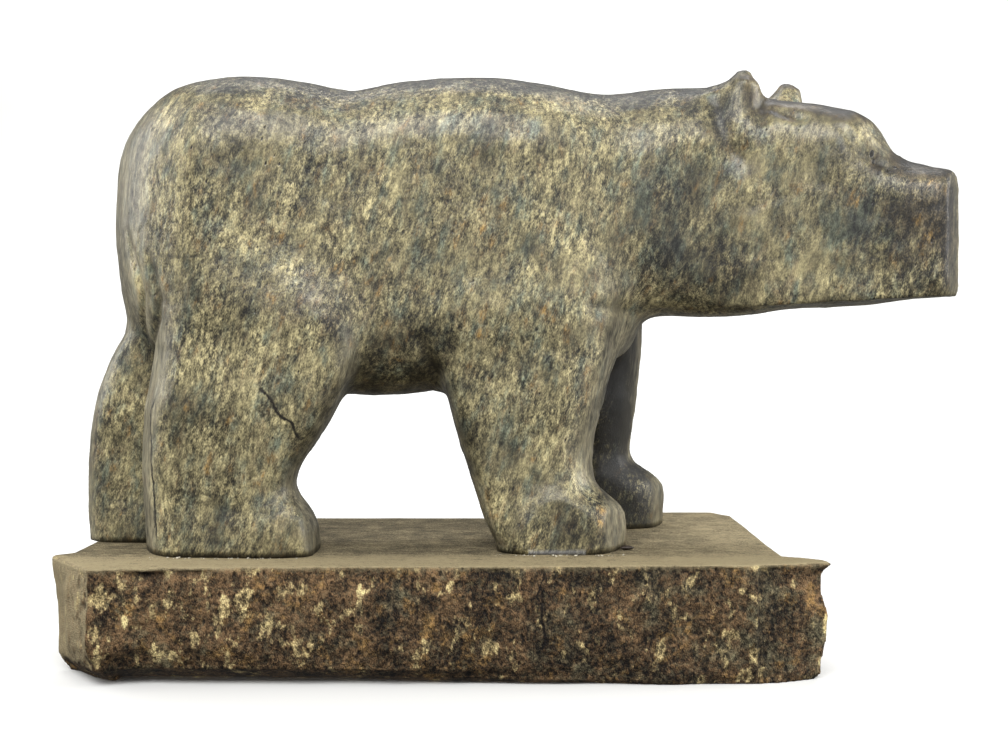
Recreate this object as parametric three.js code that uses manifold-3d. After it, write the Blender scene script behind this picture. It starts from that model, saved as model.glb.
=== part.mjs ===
// A carved soapstone bear walking on a rough slab of the same stone.
//
// The bear is one stone. It is built the way a carver works a block: a side outline is sawn
// through a plank of stone for the trunk, the head and each leg, the long edges are rounded over,
// and the planks are blended into one body. The blended form is a distance field, meshed below.
//
// Units are millimetres. +X is the way the bear walks, +Y is its left side, +Z is up.

import * as THREE from 'three';
import { mergeVertices } from 'three/addons/utils/BufferGeometryUtils.js';
import Module from 'manifold-3d';

const wasm = await Module();
wasm.setup();

// ---- Driving dimensions ----

const SLAB_TOP = 38.1; // thickness of the base slab
const CLEFT_Y = -17.5; // the narrow gap between the hind legs
const SAW_DEPTH = 8; // how far each leg is modelled below the slab's top before it is cut flat

// Plan of the trunk: its middle line swings from the near haunch to the shoulders.
const RUMP_X = -120;
const CHEST_X = 40;
const RUMP_Y = -18;
const CHEST_Y = 1.5;
const REAR_SLANT = 0.5; // the rear is cut on the slant, so the left haunch stands further back
const SLANT_FROM_X = -60;
const SLANT_FULL_X = -112;
const SLANT_PIVOT = 15; // how far left of the middle line the slant leaves the outline as it is

// The head turns to the bear's right.
const HEAD_TURN = THREE.MathUtils.degToRad(31);
const HEAD_ORIGIN = new THREE.Vector2(95.4, -5.4); // plan point between the ears

// ---- Small helpers ----

const { clamp, lerp, smoothstep } = THREE.MathUtils;

// A value that runs smoothly through [position, value] stations.
function profile(stations) {
  return (at) => {
    const last = stations.length - 1;
    if (at <= stations[0][0]) return stations[0][1];
    if (at >= stations[last][0]) return stations[last][1];
    const i = stations.findIndex(([position]) => position > at) - 1;
    const [fromAt, fromValue] = stations[i];
    const [toAt, toValue] = stations[i + 1];
    return lerp(fromValue, toValue, smoothstep(at, fromAt, toAt));
  };
}

// A closed smooth outline through its points, which gives the signed distance to it.
class Outline {
  constructor(points, steps = 6) {
    const curve = new THREE.CatmullRomCurve3(
      points.map(([along, up]) => new THREE.Vector3(along, up, 0)),
      true,
      'centripetal',
    );
    this.points = curve.getPoints(points.length * steps).slice(0, -1);
  }

  distance(along, up) {
    let nearest = Infinity;
    let inside = false;
    const { points } = this;
    for (let i = 0, j = points.length - 1; i < points.length; j = i, i += 1) {
      const a = points[i];
      const b = points[j];
      const edgeX = b.x - a.x;
      const edgeY = b.y - a.y;
      const fromX = along - a.x;
      const fromY = up - a.y;
      const share = clamp((fromX * edgeX + fromY * edgeY) / (edgeX * edgeX + edgeY * edgeY), 0, 1);
      nearest = Math.min(nearest, Math.hypot(fromX - edgeX * share, fromY - edgeY * share));
      if (a.y > up !== b.y > up && along < a.x + (edgeX * (up - a.y)) / edgeY) inside = !inside;
    }
    return inside ? -nearest : nearest;
  }
}

// A plank sawn to an outline, with its long edges rounded over.
function plank(sideways, across, halfWidth, edge) {
  const overOutline = sideways + edge;
  const overWidth = Math.abs(across) - halfWidth + edge;
  const corner = Math.hypot(Math.max(overOutline, 0), Math.max(overWidth, 0));
  return corner + Math.min(Math.max(overOutline, overWidth), 0) - edge;
}

// Joins two forms with a fillet about `blend` wide.
function join(a, b, blend) {
  const near = Math.max(blend - Math.abs(a - b), 0) / blend;
  return Math.min(a, b) - (near * near * blend) / 4;
}

// A round-ended cone between two points.
function cone(p, from, to, fromRadius, toRadius) {
  const axis = new THREE.Vector3().subVectors(to, from);
  const offset = new THREE.Vector3().subVectors(p, from);
  const share = clamp(offset.dot(axis) / axis.lengthSq(), 0, 1);
  return offset.addScaledVector(axis, -share).length() - lerp(fromRadius, toRadius, share);
}

// ---- Trunk ----

const trunkOutline = new Outline([
  [-142.5, 158], [-139, 180], [-126, 195.5], [-108, 200], [-86, 200.8], [-66, 199.2],
  [-53, 197.4], [-40, 200], [-18, 202.2], [0, 202.2], [14, 200.6], [28, 198.8], [45, 198],
  [62, 198.4], [74, 195.6], [80, 162], [70, 128], [51, 120.5], [45, 106], [22, 98], [-20, 92.5],
  [-40, 90.2], [-58, 91], [-90, 98], [-127, 108], [-137.5, 121], [-142, 138],
]);
const trunkHalfWidth = profile([[-140, 30], [-100, 33.5], [-45, 31.5], [10, 35.5], [50, 29], [75, 24]]);

const TRUNK_EDGE = 27; // rounding of the back and the belly

const middleY = (x) => RUMP_Y + ((x - RUMP_X) / (CHEST_X - RUMP_X)) * (CHEST_Y - RUMP_Y);
const rearShare = (x) => 1 - smoothstep(x, SLANT_FULL_X, SLANT_FROM_X);
const frontShare = (x) => smoothstep(x, 8, 30);

function trunk(p) {
  const y = p.y - middleY(clamp(p.x, RUMP_X, CHEST_X));
  const x = p.x + REAR_SLANT * rearShare(p.x) * (y - SLANT_PIVOT);
  return plank(trunkOutline.distance(x, p.z), y, trunkHalfWidth(p.x), TRUNK_EDGE);
}

// ---- Legs ----

const legFoot = SLAB_TOP - SAW_DEPTH;
const SHANK_EDGE = 9;
const PAW_EDGE = 6;
const PAW_BLEND = 5;

// A leg is a plank whose width changes with height, with a broader plank for the paw.
function legForm({ outline, middle, halfWidth, slant, paw }) {
  const side = new Outline(outline);
  const middleAt = profile(middle);
  const halfWidthAt = profile(halfWidth);
  const pawSide = new Outline(paw.outline);
  return (p) => {
    const y = p.y - middleAt(p.z);
    const x = p.x + y * (slant.rear * rearShare(p.x) + slant.front * frontShare(p.x));
    const shank = plank(side.distance(x, p.z), y, halfWidthAt(p.z), SHANK_EDGE);
    const foot = plank(pawSide.distance(x, p.z), y, paw.halfWidth, PAW_EDGE);
    return join(shank, foot, PAW_BLEND);
  };
}

const LEGS = [
  // right hind leg
  {
    outline: [
      [-113, 140], [-115, 122], [-117, 104], [-120, 89], [-121.5, 73], [-121.5, 58], [-120.5, 45],
      [-118, legFoot], [-70, legFoot], [-67, 41], [-66, 46], [-67, 50.5], [-70, 54],
      [-70.6, 60], [-69.4, 66], [-65.4, 72.5], [-60.3, 80], [-55.5, 89], [-50, 102], [-55, 124],
      [-80, 140],
    ],
    middle: [[40, -32], [90, -33], [112, -33], [148, -25]],
    halfWidth: [[40, 13], [56, 11.5], [66, 12.5], [90, 14.5], [112, 14.5], [148, 12]],
    slant: { rear: 0.49, front: 0 },
    paw: {
      outline: [[-92, legFoot], [-92, 46], [-84, 55], [-74, 57], [-66.5, 52.5], [-64, 46], [-65, legFoot]],
      halfWidth: 13.5,
    },
  },
  // left hind leg
  {
    outline: [
      [-131, 128], [-136.2, 115], [-142.2, 104], [-146.4, 93], [-149.4, 80], [-150.8, 66], [-151, 52],
      [-150.6, 43], [-147.5, legFoot], [-94, legFoot], [-91.5, 41], [-91, 46], [-93, 50.5],
      [-96, 54], [-97, 60], [-96, 66], [-92, 73], [-86, 82], [-80, 92], [-76, 106], [-82, 128],
      [-110, 138],
    ],
    middle: [[40, -2.5], [90, -2], [112, -2], [148, -8]],
    halfWidth: [[40, 12], [56, 11], [66, 12], [90, 14.5], [112, 15.5], [148, 12]],
    slant: { rear: 0.3, front: 0 },
    paw: {
      outline: [[-116, legFoot], [-116, 46], [-108, 55], [-99, 57], [-92.5, 52.5], [-90, 46], [-91, legFoot]],
      halfWidth: 12.5,
    },
  },
  // right foreleg
  {
    outline: [
      [-22, 112], [-21.5, 97], [-18.8, 86], [-15, 73], [-11.3, 61.7], [-7.9, 51.5], [-4, 43],
      [3, legFoot], [36, legFoot], [38, 42], [38.5, 48], [37.5, 52], [35, 55.5],
      [31.3, 60.5], [29.5, 68], [30.2, 78], [32.4, 87.2], [34.8, 96], [38, 108], [40, 125],
      [34, 145], [18, 152], [-6, 148], [-18, 132],
    ],
    middle: [[40, -27.5], [90, -25], [112, -24], [150, -15]],
    halfWidth: [[40, 11], [56, 9.5], [66, 10], [92, 12], [112, 13], [150, 11]],
    slant: { rear: 0, front: -0.42 },
    paw: {
      outline: [
        [6, legFoot], [6, 46], [11, 56], [18, 60], [29, 56.5], [36, 53.5], [39, 49], [39.4, 43],
        [37, legFoot],
      ],
      halfWidth: 12.2,
    },
  },
  // left foreleg
  {
    outline: [
      [3, 120], [6, 102], [9, 85], [13, 70], [17, 56], [20, 43], [24, legFoot], [56, legFoot],
      [58, 41], [58.6, 49], [57.6, 54], [55.4, 57.4], [50.6, 61], [48.2, 66.5], [48.6, 73],
      [50, 84.5], [51, 96], [51.8, 108], [50.8, 122], [45, 142], [30, 150], [12, 142],
    ],
    middle: [[40, 30], [90, 26.5], [112, 25], [150, 16]],
    halfWidth: [[40, 10.5], [56, 9.5], [66, 10], [92, 12.5], [112, 14], [150, 11]],
    slant: { rear: 0, front: -0.38 },
    paw: {
      outline: [
        [28, legFoot], [28, 46], [33, 57], [40, 61], [50, 59.4], [57, 56.6], [60.4, 51.5], [60.6, 43],
        [59, legFoot],
      ],
      halfWidth: 11.5,
    },
  },
].map(legForm);

// ---- Head ----

const headOutline = new Outline([
  [-26, 188.5], [-16, 194], [-2, 194.6], [12, 193.2], [24, 191], [33, 188.2], [37.5, 184.8],
  [41, 179.4], [44.5, 174.4], [50, 170.6], [56.5, 168.8], [61.5, 166.9],
  [63.9, 162.7], [64, 155], [63.4, 142],
  [62.8, 129], [61, 125.8], [52, 124.2], [33, 122.2], [8.5, 121.5], [-14, 122], [-26, 128], [-29, 160],
]);
const headHalfWidth = profile([[-30, 22.5], [-8, 22.5], [12, 21.5], [30, 18], [44, 14], [62, 12]]);

// Plan position along and across the turned head.
function headPlace(p) {
  const x = p.x - HEAD_ORIGIN.x;
  const y = p.y - HEAD_ORIGIN.y;
  const cos = Math.cos(HEAD_TURN);
  const sin = Math.sin(HEAD_TURN);
  return new THREE.Vector3(x * cos - y * sin, x * sin + y * cos, p.z);
}

// Each ear is a blunt cone that leans forward: base and tip as along, across, up, then radii,
// and how far along its flat front face stands at EAR_FACE_Z.
const EARS = [
  [new THREE.Vector3(-9.6, -12.5, 183), new THREE.Vector3(-2, -17.2, 199.4), 14.5, 5.2, 1.6],
  [new THREE.Vector3(-2.4, 13.6, 185.5), new THREE.Vector3(1.8, 18.6, 201.5), 12.3, 5.3, 6.8],
];
const EAR_FACE_Z = 200;
const EAR_FACE_SLOPE = 0.42;
const EAR_BLEND = 3;

function earForm(place, [base, tip, baseRadius, tipRadius, faceAlong]) {
  const face = place.x - faceAlong + EAR_FACE_SLOPE * (place.z - EAR_FACE_Z);
  return Math.max(cone(place, base, tip, baseRadius, tipRadius), face);
}

const ROOF_SLOPE = 0.42; // the top of the snout falls away to each side
const JAW_EDGE = 4; // rounding of the flat underside's edge
const CROWN_EDGE = 15; // rounding of the top of the head

function head(p) {
  const place = headPlace(p);
  const across = Math.abs(place.y);
  const roof = ROOF_SLOPE * across * smoothstep(place.x, 30, 48) * smoothstep(p.z, 135, 155);
  const crown = smoothstep(p.z, 122, 170) * (1 - 0.75 * smoothstep(place.x, 25, 50));
  const side = headOutline.distance(place.x, p.z + roof);
  const skull = plank(side, across, headHalfWidth(place.x), lerp(JAW_EDGE, CROWN_EDGE, crown));
  return EARS.reduce((form, ear) => join(form, earForm(place, ear), EAR_BLEND), skull);
}

// ---- Neck ----

const neckOutline = new Outline([
  [30, 150], [36, 184], [58, 196.6], [82, 194.4], [96, 185], [100, 158], [95, 128], [78, 121.6],
  [56, 121.6], [40, 126],
]);
const neckMiddle = profile([[40, 1.5], [90, -3.5]]);
const neckHalfWidth = profile([[40, 24], [90, 21]]);
const THROAT_EDGE = 12;
const NAPE_EDGE = 21;

function neck(p) {
  const edge = lerp(THROAT_EDGE, NAPE_EDGE, smoothstep(p.z, 120, 170));
  const side = neckOutline.distance(p.x, p.z);
  return plank(side, p.y - neckMiddle(p.x), neckHalfWidth(p.x), edge);
}

// ---- The whole bear as a distance field ----

const NECK_BLEND = 14;

// The legs meet the belly in a tight crease and run out into the flanks in a long fillet.
const legBlend = (z) => lerp(5, 12, smoothstep(z, 94, 140));

function bearField(p) {
  const legs = Math.min(...LEGS.map((leg) => leg(p)));
  const body = join(trunk(p), legs, legBlend(p.z));
  return join(join(body, neck(p), NECK_BLEND), head(p), NECK_BLEND);
}

// ---- Meshing ----

// Grid lines from low to high whose spacing follows `spacingAt`.
function gridLines(low, high, spacingAt) {
  const lines = [low];
  while (lines[lines.length - 1] < high) {
    const last = lines[lines.length - 1];
    lines.push(last + spacingAt(last));
  }
  return lines;
}

// A closed quad mesh of a field's zero surface: one point for each grid cell that it crosses.
function surfaceNet(field, lines) {
  const [nx, ny, nz] = lines.map((axis) => axis.length);
  const nodeIndex = (i, j, k) => (i * ny + j) * nz + k;
  const values = new Float64Array(nx * ny * nz);
  const corner = (i, j, k) => new THREE.Vector3(lines[0][i], lines[1][j], lines[2][k]);
  for (let i = 0; i < nx; i += 1) {
    for (let j = 0; j < ny; j += 1) {
      for (let k = 0; k < nz; k += 1) values[nodeIndex(i, j, k)] = field(corner(i, j, k));
    }
  }

  const points = [];
  const cellPoint = new Map();
  const pointOfCell = (i, j, k) => {
    const key = nodeIndex(i, j, k);
    if (cellPoint.has(key)) return cellPoint.get(key);
    const sum = new THREE.Vector3();
    let crossings = 0;
    for (let axis = 0; axis < 3; axis += 1) {
      for (const [u, v] of [[0, 0], [0, 1], [1, 0], [1, 1]]) {
        const from = [i, j, k];
        from[(axis + 1) % 3] += u;
        from[(axis + 2) % 3] += v;
        const to = [...from];
        to[axis] += 1;
        const a = values[nodeIndex(...from)];
        const b = values[nodeIndex(...to)];
        if (a < 0 !== b < 0) {
          sum.add(corner(...from).lerp(corner(...to), a / (a - b)));
          crossings += 1;
        }
      }
    }
    cellPoint.set(key, points.length);
    points.push(sum.divideScalar(crossings));
    return points.length - 1;
  };

  const quads = [];
  for (let i = 1; i < nx - 1; i += 1) {
    for (let j = 1; j < ny - 1; j += 1) {
      for (let k = 1; k < nz - 1; k += 1) {
        for (let axis = 0; axis < 3; axis += 1) {
          const next = [i, j, k];
          next[axis] += 1;
          const here = values[nodeIndex(i, j, k)] < 0;
          if (here === values[nodeIndex(...next)] < 0) continue;
          const quad = [[0, 0], [1, 0], [1, 1], [0, 1]].map(([u, v]) => {
            const cell = [i, j, k];
            cell[(axis + 1) % 3] -= u;
            cell[(axis + 2) % 3] -= v;
            return pointOfCell(...cell);
          });
          quads.push(here ? quad : quad.reverse());
        }
      }
    }
  }
  return { points, quads };
}

const GRADIENT_STEP = 0.05;

function gradient(field, p) {
  const slope = (axis) => {
    const ahead = p.clone();
    const behind = p.clone();
    ahead[axis] += GRADIENT_STEP;
    behind[axis] -= GRADIENT_STEP;
    return (field(ahead) - field(behind)) / (2 * GRADIENT_STEP);
  };
  return new THREE.Vector3(slope('x'), slope('y'), slope('z'));
}

// Evens the mesh out along the surface and pulls every point onto it.
function settle(field, { points, quads }, rounds) {
  const neighbours = points.map(() => new Set());
  for (const quad of quads) {
    quad.forEach((point, i) => {
      neighbours[point].add(quad[(i + 1) % 4]).add(quad[(i + 3) % 4]);
    });
  }
  for (let round = 0; round < rounds; round += 1) {
    const moved = points.map((point, i) => {
      const mean = new THREE.Vector3();
      neighbours[i].forEach((n) => mean.add(points[n]));
      return point.clone().lerp(mean.divideScalar(neighbours[i].size), 0.5);
    });
    moved.forEach((point, i) => {
      const slope = gradient(field, point);
      point.addScaledVector(slope, -field(point) / Math.max(slope.lengthSq(), 0.25));
      points[i].copy(point);
    });
  }
}

// Splits each quad along its shorter diagonal.
function trianglesOf({ points, quads }) {
  return quads.flatMap(([a, b, c, d]) => (
    points[a].distanceTo(points[c]) < points[b].distanceTo(points[d])
      ? [a, b, c, a, c, d]
      : [a, b, d, b, c, d]
  ));
}

function solidOf(geometry) {
  const bare = geometry.clone();
  bare.deleteAttribute('normal');
  bare.deleteAttribute('uv');
  const merged = mergeVertices(bare, 1e-4);
  return new wasm.Manifold(new wasm.Mesh({
    numProp: 3,
    vertProperties: new Float32Array(merged.attributes.position.array),
    triVerts: new Uint32Array(merged.index.array),
  }));
}

function geometryOf(solid) {
  const mesh = solid.getMesh();
  return new THREE.BufferGeometry()
    .setAttribute('position', new THREE.BufferAttribute(mesh.vertProperties, 3))
    .setIndex(new THREE.BufferAttribute(mesh.triVerts, 1));
}

// Grid spacing: wide along the flanks, close at the head, the ears and the flat of the jaw.
const spacingX = (x) => lerp(6.9, 4.6, smoothstep(x, 60, 85));
const spacingZ = (z) => {
  if (z > 186) return 3.8;
  if (z > 114 && z < 130) return 4;
  return lerp(6.5, 5.2, smoothstep(z, 150, 180));
};
const SPACING_Y = 5.9;
const SETTLE_ROUNDS = 4;

function bearGeometry() {
  const lines = [
    gridLines(-160, 168, spacingX),
    gridLines(CLEFT_Y - 9 * SPACING_Y, 56, () => SPACING_Y),
    gridLines(legFoot - 12, 214, spacingZ),
  ];
  const net = surfaceNet(bearField, lines);
  settle(bearField, net, SETTLE_ROUNDS);
  const geometry = new THREE.BufferGeometry().setFromPoints(net.points);
  geometry.setIndex(trianglesOf(net));
  const waste = new THREE.BoxGeometry(400, 400, 2 * SLAB_TOP);
  return geometryOf(solidOf(geometry).subtract(solidOf(waste)));
}

// ---- Base slab ----

// Plan of the slab's split sides, round from the front left corner.
const SLAB_PLAN = [
  [-129.5, -68], [-112, -64], [-60, -62], [0, -61.4], [80, -59.2], [104.8, -53.4], [103.8, -48.4],
  [98, -44.2], [92.8, -40.3], [93.6, 56], [88, 67], [64, 67.5], [38, 60], [-8, 50], [-136, 50],
  [-144, 43], [-146, -11], [-145.5, -34], [-151, -39.4],
].map(([x, y]) => new THREE.Vector2(x, y));
const SPLIT_STEP = 9.2; // spacing of the side's facets

// Corners of the plan with evenly spaced points between them, each with its outward direction.
function slabRim() {
  const points = SLAB_PLAN.flatMap((corner, i) => {
    const next = SLAB_PLAN[(i + 1) % SLAB_PLAN.length];
    const steps = Math.ceil(corner.distanceTo(next) / SPLIT_STEP);
    return Array.from({ length: steps }, (_, step) => corner.clone().lerp(next, step / steps));
  });
  return points.map((point, i) => {
    const before = points[(i + points.length - 1) % points.length];
    const after = points[(i + 1) % points.length];
    const along = new THREE.Vector2().subVectors(after, before).normalize();
    return { point, outward: new THREE.Vector2(along.y, -along.x) };
  });
}

// The lower arris is broken away under the slab, most at the front left and least at the ends.
const undercut = (x) => lerp(7, lerp(18, 2.5, smoothstep(x, -130, 95)), smoothstep(x, -146, -124));

// How far the right tip and the left end stand out at each height.
const tipSwell = profile([
  [0, -3.4], [9, -3.4], [16, -0.8], [22, -0.4], [29, -1.9], [34.6, -1.9], [38, 1.8],
]);
const endSwell = profile([[4, -1], [9, -2.6], [19, -2.4], [26, -0.8], [34, 0.3]]);

// A repeatable number from 0 to 1 for each cell of a grid.
const chance = (i, j) => {
  const wave = Math.sin(i * 127.1 + j * 311.7) * 43758.5453;
  return wave - Math.floor(wave);
};

// Smooth unevenness from -1 to 1 whose lumps are one unit across.
function unevenness(u, v) {
  const i = Math.floor(u);
  const j = Math.floor(v);
  const across = smoothstep(u - i, 0, 1);
  const low = lerp(chance(i, j), chance(i + 1, j), across);
  const high = lerp(chance(i, j + 1), chance(i + 1, j + 1), across);
  return 2 * lerp(low, high, smoothstep(v - j, 0, 1)) - 1;
}

// How far the side stands out from the plan, by height and by place along the rim.
function sideOffset(point, along, z) {
  const lip = lerp(13, 4, smoothstep(point.x, -120, 60));
  const under = undercut(point.x) * (1 - smoothstep(z, -2, lip)) ** 2;
  const tip = smoothstep(point.x, 90, 103);
  const end = 1 - smoothstep(point.x, -148, -138);
  const swell = tip * tipSwell(z) + end * endSwell(z);
  const split = 1.2 * unevenness(along / 17, z / 15) + 0.5 * unevenness(along / 8, z / 8);
  const dressed = smoothstep(z, 30, SLAB_TOP) * (1 - tip);
  return swell - under + split * (1 - dressed) - 0.5 * dressed;
}

function slabGeometry() {
  const heights = [0, 2.2, 6, 13, 21, 29, 34.6, SLAB_TOP];
  const rim = slabRim();
  const rings = heights.map((z) => rim.map(({ point, outward }, i) => {
    const place = point.clone().addScaledVector(outward, sideOffset(point, i * SPLIT_STEP, z));
    return new THREE.Vector3(place.x, place.y, z);
  }));
  const count = rim.length;
  const underCentre = count * heights.length;
  const topCentre = underCentre + 1;
  const topRing = underCentre - count;
  const index = [];
  for (let i = 0; i < count; i += 1) {
    const next = (i + 1) % count;
    for (let lower = 0; lower < topRing; lower += count) {
      const upper = lower + count;
      index.push(lower + i, lower + next, upper + next, lower + i, upper + next, upper + i);
    }
    index.push(next, i, underCentre, topRing + i, topRing + next, topCentre);
  }
  const centres = [new THREE.Vector3(0, 0, 0), new THREE.Vector3(0, 0, SLAB_TOP)];
  return new THREE.BufferGeometry().setFromPoints([...rings.flat(), ...centres]).setIndex(index);
}

// ---- Scene ----

const object = new THREE.Group();

const bear = new THREE.Mesh(
  bearGeometry(),
  new THREE.MeshStandardMaterial({ color: 0x8a8468, roughness: 0.5, metalness: 0 }),
);
bear.name = 'bear';
object.add(bear);

const slab = new THREE.Mesh(
  slabGeometry(),
  new THREE.MeshStandardMaterial({ color: 0x6a5a42, roughness: 0.9, metalness: 0 }),
);
slab.name = 'base_slab';
object.add(slab);

// The object's origin is the middle of its footprint.
const bounds = new THREE.Box3().setFromObject(object);
const middle = bounds.getCenter(new THREE.Vector3());
object.position.set(-middle.x, -middle.y, -bounds.min.z);

export default object;
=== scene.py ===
"""A soapstone bear carving on its split slab: carved and split surfaces, stone finishes and studio.

The CAD frame gives every size and place. Points are worked on in millimetres and written in metres.
+X is the way the bear walks, +Y is its left side and +Z is up.
"""

import itertools
import math

import bmesh
import bpy
import numpy as np
from mathutils import Euler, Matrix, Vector


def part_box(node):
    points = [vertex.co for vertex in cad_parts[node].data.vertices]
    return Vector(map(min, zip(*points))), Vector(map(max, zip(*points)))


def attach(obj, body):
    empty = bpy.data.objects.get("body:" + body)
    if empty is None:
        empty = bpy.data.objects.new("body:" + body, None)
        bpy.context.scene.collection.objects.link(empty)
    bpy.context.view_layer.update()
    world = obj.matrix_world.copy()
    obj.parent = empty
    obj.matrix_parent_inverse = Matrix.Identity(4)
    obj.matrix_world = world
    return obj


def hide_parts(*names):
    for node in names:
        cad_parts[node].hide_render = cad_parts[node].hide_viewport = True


bl_info = {
    "name": "Soapstone Bear Carving",
    "version": (1, 0, 0),
    "blender": (4, 5, 0),
    "location": "3D View > Sidebar > Stone Bear",
    "description": "Carves the bear, splits its slab and sets the studio round them",
    "category": "Add Mesh",
}

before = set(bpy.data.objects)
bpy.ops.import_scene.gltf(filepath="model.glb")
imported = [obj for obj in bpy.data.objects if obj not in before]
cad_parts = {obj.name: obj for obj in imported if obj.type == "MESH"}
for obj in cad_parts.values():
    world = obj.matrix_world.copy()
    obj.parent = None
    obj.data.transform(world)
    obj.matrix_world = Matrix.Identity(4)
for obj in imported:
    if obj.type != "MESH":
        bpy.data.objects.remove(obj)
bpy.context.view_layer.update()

MM = 0.001
SLAB_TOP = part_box("base_slab")[1].z / MM

# The head is turned to the bear's right about a plan point between the ears.
HEAD_TURN = math.radians(31)
HEAD_ORIGIN = (94.3, -5.0)


# ---- Colour and array helpers ----


def linear(code):
    """An sRGB hex colour as the linear values that shaders take."""
    shares = [int(code[i : i + 2], 16) / 255 for i in (1, 3, 5)]
    return tuple(s / 12.92 if s <= 0.04045 else ((s + 0.055) / 1.055) ** 2.4 for s in shares)


def smooth(value, low, high):
    """0 below low and 1 above high, with a smooth step between."""
    t = np.clip((value - low) / (high - low), 0, 1)
    return t * t * (3 - 2 * t)


def scatter(places, seed):
    """A repeatable random value from 0 to 1 for each whole-numbered place."""
    x, y, z = (places[..., i].astype(np.uint32) for i in range(3))
    h = x * np.uint32(0x8DA6B343) ^ y * np.uint32(0xD8163841) ^ z * np.uint32(0xCB1AB31F)
    h ^= np.uint32(seed * 0x9E3779B1 & 0xFFFFFFFF)
    for shift, factor in ((16, 0x7FEB352D), (15, 0x846CA68B)):
        h = (h ^ (h >> np.uint32(shift))) * np.uint32(factor)
    return (h ^ (h >> np.uint32(16))) / 2.0**32


def lumps(points, size, seed):
    """Soft random relief between -1 and 1 whose lumps are size mm across."""
    at = points / size
    base = np.floor(at).astype(np.int64)
    part = at - base
    part = part**3 * (part * (part * 6 - 15) + 10)
    total = np.zeros(len(points))
    for corner in itertools.product((0, 1), repeat=3):
        weight = np.prod(np.where(corner, part, 1 - part), axis=1)
        total += weight * (scatter(base + np.array(corner), seed) * 2 - 1)
    return total


def cells(points, size, seed):
    """Irregular cells about size mm across.

    Gives how far each point is from its cell's seed, in cells, its cell's number and the way
    from the seed.
    """
    at = points / size
    base = np.floor(at).astype(np.int64)
    nearest = np.full(len(points), np.inf)
    number = np.zeros_like(base)
    way = np.zeros_like(at)
    for corner in itertools.product((-1, 0, 1), repeat=3):
        cell = base + np.array(corner)
        jitter = np.stack([scatter(cell, seed + i) for i in range(3)], axis=1)
        away = at - cell - jitter
        gap = np.linalg.norm(away, axis=1)
        closer = gap < nearest
        number[closer] = cell[closer]
        way[closer] = away[closer]
        nearest = np.where(closer, gap, nearest)
    return nearest, number, way


def facets(points, size, seed, tilt=0.8):
    """Broken-stone relief from about -1 to 1: flat, tilted cells size mm across."""
    _, number, way = cells(points, size, seed)
    lean = np.stack([scatter(number, seed + 3 + i) * 2 - 1 for i in range(3)], axis=1)
    plane = scatter(number, seed + 6) * 2 - 1 + tilt * (way * lean).sum(axis=1)
    return plane / (1 + tilt * 0.5)


def nearest_seed(points, size, seed):
    """How far each point is from its nearest cell's seed, in cells, where half have none."""
    gap, number, _ = cells(points, size, seed)
    return np.where(scatter(number, seed + 3) < 0.5, gap, 1.0)


def blob(points, centre, radii):
    """1 at the centre of an ellipsoid, falling smoothly to 0 at its surface."""
    reach = np.sqrt((((points - np.array(centre)) / np.array(radii)) ** 2).sum(axis=1))
    return 1 - smooth(reach, 0.0, 1.0)


FAR = 50.0  # mm, the distance given to points that no line comes near
REACH = 7.0  # mm above or below the stone that a drawn line still marks
TINY = 1e-9  # gives a point right on a line a side too


def follow(points, normals, path):
    """How each point lies to a line drawn on the stone: signed distance and share along."""
    route = np.array(path, float)
    lengths = np.linalg.norm(np.diff(route, axis=0), axis=1)
    starts = np.concatenate([[0], np.cumsum(lengths)])
    best = np.full(len(points), FAR)
    side = np.ones(len(points))
    share = np.zeros(len(points))
    for i, length in enumerate(lengths):
        run = (route[i + 1] - route[i]) / length
        along = np.clip((points - route[i]) @ run, 0, length)
        off = points - route[i] - along[:, None] * run
        lift = (off * normals).sum(axis=1)
        gap = np.linalg.norm(off - lift[:, None] * normals, axis=1)
        closer = (gap < best) & (np.abs(lift) < REACH)
        turn = (np.cross(run, normals) * off).sum(axis=1)
        side = np.where(closer, np.sign(turn + TINY), side)
        share = np.where(closer, (starts[i] + along) / starts[-1], share)
        best = np.where(closer, gap, best)
    return best * side, share


def tapered(share, start, end):
    """1 along a drawn line, fading out over its first and last shares."""
    return smooth(share, 0, start) * (1 - smooth(share, 1 - end, 1))


# ---- Mesh helpers ----

PUSH_ROUNDS = 3
SHARP = math.radians(50)  # CAD edges that turn more than this stay crisp
WELD = 0.01  # mm


def read(mesh):
    """A mesh's points in mm and its normals."""
    count = len(mesh.vertices)
    points = np.empty(count * 3, np.float32)
    normals = np.empty(count * 3, np.float32)
    mesh.vertices.foreach_get("co", points)
    mesh.vertex_normals.foreach_get("vector", normals)
    return points.reshape(-1, 3).astype(float) / MM, normals.reshape(-1, 3).astype(float)


def write(mesh, points):
    """Sets a mesh's points from mm."""
    mesh.vertices.foreach_set("co", (points * MM).astype(np.float32).ravel())
    mesh.update()


def keep_fields(mesh, fields):
    """Stores each field, one number a point, for the stone's shader to read."""
    for name, values in fields.items():
        layer = mesh.attributes.new(name, "FLOAT", "POINT")
        layer.data.foreach_set("value", values.astype(np.float32))


def neighbours(mesh):
    """A function that averages a field over each point's neighbours."""
    pairs = np.empty(len(mesh.edges) * 2, np.int32)
    mesh.edges.foreach_get("vertices", pairs)
    a, b = pairs.reshape(-1, 2).T
    count = len(mesh.vertices)
    degree = np.bincount(a, minlength=count) + np.bincount(b, minlength=count)

    def average(field):
        columns = []
        for values in field.T:
            total = np.bincount(a, weights=values[b], minlength=count)
            total += np.bincount(b, weights=values[a], minlength=count)
            columns.append(total / degree)
        return np.stack(columns, axis=1)

    return average


def hollowness(mesh, points, normals, rounds):
    """In mm, how far each point lies below (above if negative) its smoothed surroundings."""
    average = neighbours(mesh)
    soft = points.copy()
    for _ in range(rounds):
        soft = average(soft)
    return ((soft - points) * normals).sum(axis=1)


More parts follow.
